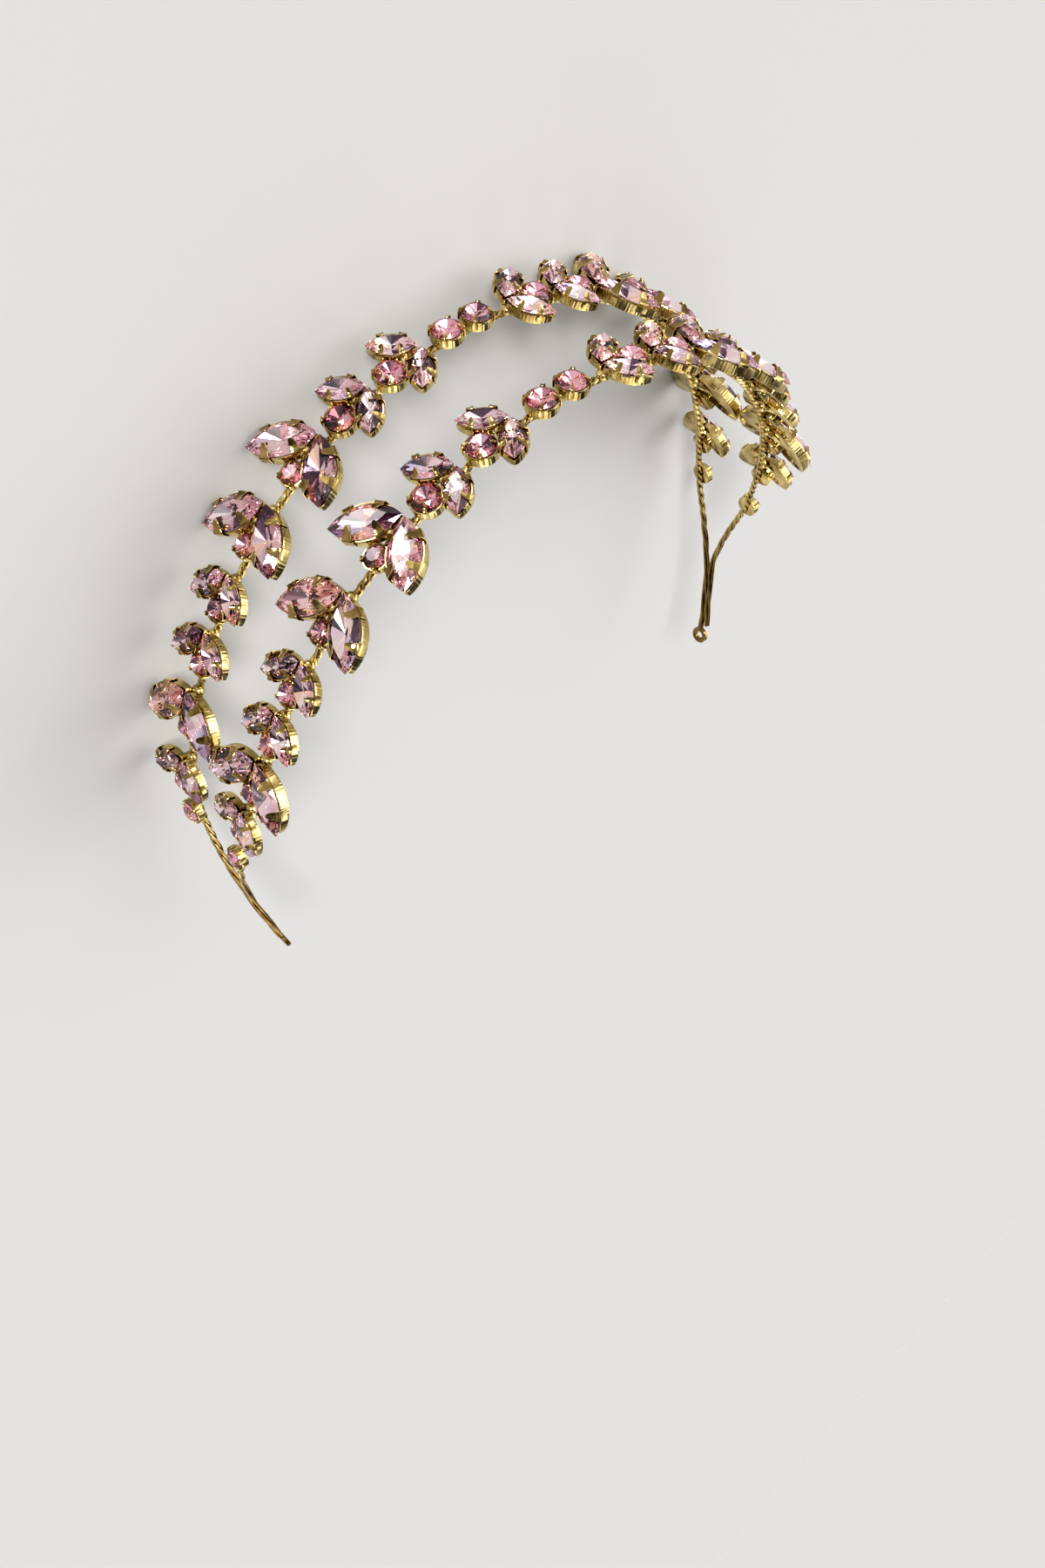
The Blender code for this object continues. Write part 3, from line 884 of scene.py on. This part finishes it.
def build_row(row, end):
    """A row's four pieces: its wire, its settings, its marquise stones and its round stones."""
    settings, pale, rose, wire = Bag(), Bag(), Bag(), Bag()
    for side in (-1, 1):
        set_single(row, side, PAIR_AT, "large_round", settings, pale, rose)
        for cluster in CLUSTERS:
            set_cluster(row, side, cluster, settings, pale, rose)
        set_single(row, side, END_ROUND_AT, "small_round", settings, pale, rose)
        if row == "rear":
            points, faces = eye_ring()
            wire.add(points, faces, wire_frame(EYE_AT, row, side), tints=[STEM_DARKER_TINT] * len(faces))
    for points, faces, tints in twisted_wire(row, end):
        wire.add(points, faces, tints=tints)
    metal = f"{row}_row"
    marquises = [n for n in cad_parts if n.startswith(row) and "marquise" in n]
    rounds = [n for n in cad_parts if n.startswith(row) and "round" in n]
    wire.make(f"{row}_twisted_wire", [GOLD_WIRE], SMOOTH_ANGLE, (metal,), "gold_metal")
    settings.make(f"{row}_settings", [GOLD], SMOOTH_ANGLE, (metal,), "gold_metal")
    pale.make(f"{row}_marquise_stones", PALE, None, (metal, *marquises), "pale_pink_stone")
    rose.make(f"{row}_round_stones", ROSE, None, (metal, *rounds), "rose_pink_stone")


build_row("front", FRONT_WIRE_END)
build_row("rear", REAR_WIRE_END)


# Camera: the photograph's pose, given in the crown's worn frame and laid down with it
CAMERA_AT = (-0.14494, 0.16927, 0.16036)
CAMERA_AHEAD = (0.39404, -0.81834, -0.41840)
CAMERA_RIGHT = (0.73999, 0.01247, 0.67250)
CAMERA_DOWN = (-0.54512, -0.57460, 0.61048)
CAMERA_SENSOR = 36.0
CAMERA_LENS = 31.695
CAMERA_NEAR = 0.005
CAMERA_FAR = 100.0

camera = add_object("camera", bpy.data.cameras.new("camera"))
camera_up = [-v for v in CAMERA_DOWN]
camera_back = [-v for v in CAMERA_AHEAD]
axes = Matrix((CAMERA_RIGHT, camera_up, camera_back)).transposed().to_4x4()
axes.translation = CAMERA_AT
camera.matrix_world = HOLDER @ axes
camera.data.sensor_width = CAMERA_SENSOR
camera.data.lens = CAMERA_LENS
camera.data.clip_start = CAMERA_NEAR
camera.data.clip_end = CAMERA_FAR
bpy.context.scene.camera = camera

# Floor, sky and lights

FLOOR_HALF = 30.0
FLOOR_ROUGHNESS = 0.85
FLOOR_TONE_SCALE = 3.0
# columns: noise, colour
FLOOR_TONES = (
    (0.3, (0.57, 0.562, 0.549)),
    (0.7, (0.575, 0.567, 0.554)),
)
# The sky's colour near the horizon is the shade that the floor comes out with
HORIZON = (0.572, 0.5615, 0.55)
# columns: sine of the elevation, share of the patches
SKY_RISE = (
    (0.27, (0.0, 0.0, 0.0)),
    (0.42, WHITE),
)
# columns: noise, colour
SKY_PATCHES = (
    (0.38, (0.05, 0.05, 0.06)),
    (0.48, (0.42, 0.42, 0.43)),
    (0.56, WHITE),
)
SKY_PATCH_BOOST = 1.42
SKY_PATCH_SCALE = 1.7
SKY_PATCH_DETAIL = 1.0
SKY_PATTERN = 1.6
# Low cards whose reflections whiten the tables of some stones
PANEL_HEIGHT = 1.0 * MM
PANEL_GLOW = 4.8
# columns: x, y, length, width (mm)
PANELS = (
    (-67.5, 107.0, 22, 30),
    (-33.5, 145.5, 9, 13),
    (-50.5, 72.8, 5, 5),
    (-28.5, 97.0, 7, 6),
)
# columns: name, direction towards the lamp, strength, width (degrees), colour
SUNS = (
    ("key", (-0.45, 0.75, 0.62), 1.5, 16.0, WHITE),
    ("fill", (0.8, 0.2, 0.7), 0.4, 40.0, (1.0, 0.96, 0.92)),
)
# A warm glow that only polished faces show, as pale linen gives the cups at the top
LINEN = ("linen", (-0.44, -0.63, 0.64), 0.45, 50.0, (1.0, 0.90, 0.72))


def floor():
    """A wide plain floor that mirrors nothing, so that its shade is the same from every side."""
    mesh = bpy.data.meshes.new("floor")
    half = FLOOR_HALF
    corners = [(-half, -half, 0), (half, -half, 0), (half, half, 0), (-half, half, 0)]
    mesh.from_pydata(corners, [], [(0, 1, 2, 3)])
    made = add_object("floor", mesh)
    finish, tree, shader = nodes_of("floor")
    tone = ramp(tree, noise(tree, FLOOR_TONE_SCALE), FLOOR_TONES)
    tree.links.new(tone, shader.inputs["Base Color"])
    shader.inputs["Roughness"].default_value = FLOOR_ROUGHNESS
    shader.inputs["Specular IOR Level"].default_value = 0.0
    mesh.materials.append(finish)


def sun(name, towards, strength, width, colour):
    """A broad lamp far away in a direction."""
    data = bpy.data.lights.new(name, "SUN")
    data.energy = strength
    data.angle = math.radians(width)
    data.color = colour
    made = add_object(name, data)
    made.rotation_mode = "QUATERNION"
    made.rotation_quaternion = Vector(towards).to_track_quat("Z", "Y")
    return made


def panel(name, x, y, length, width):
    """A small bright card low over the floor, that only glossy faces show."""
    data = bpy.data.lights.new(name, "AREA")
    data.shape = "RECTANGLE"
    data.size = length * MM
    data.size_y = width * MM
    data.energy = PANEL_GLOW * math.pi * data.size * data.size_y
    made = add_object(name, data)
    made.location = (x * MM, y * MM, PANEL_HEIGHT)
    made.rotation_euler = (math.pi, 0.0, 0.0)
    made.visible_camera = False
    made.visible_diffuse = False
    made.visible_transmission = False


def studio_sky():
    """Pale at the horizon, as the floor is, and dim higher up with bright patches to mirror."""
    world = bpy.data.worlds.new("studio")
    world.use_nodes = True
    tree = world.node_tree
    place = tree.nodes.new("ShaderNodeTexCoord")
    split = tree.nodes.new("ShaderNodeSeparateXYZ")
    tree.links.new(place.outputs["Generated"], split.inputs["Vector"])
    above = ramp(tree, split.outputs["Z"], SKY_RISE)
    cloud = noise(tree, SKY_PATCH_SCALE, SKY_PATCH_DETAIL, "Generated", SKY_PATTERN)
    boost = [SKY_PATCH_BOOST] * 3
    patches = blend_colour(tree, 1.0, ramp(tree, cloud, SKY_PATCHES), boost, "MULTIPLY")
    shade = blend_colour(tree, above, HORIZON, patches)
    tree.links.new(shade, tree.nodes["Background"].inputs["Color"])
    bpy.context.scene.world = world


floor()
studio_sky()
for row in SUNS:
    sun(*row)
linen = sun(*LINEN)
linen.visible_diffuse = False
linen.visible_transmission = False
for number, row in enumerate(PANELS):
    panel(f"panel_{number}", *row)

scene = bpy.context.scene
scene.view_settings.view_transform = "Standard"
scene.view_settings.look = "High Contrast"
scene.cycles.max_bounces = 16
scene.cycles.glossy_bounces = 12
scene.cycles.transmission_bounces = 12
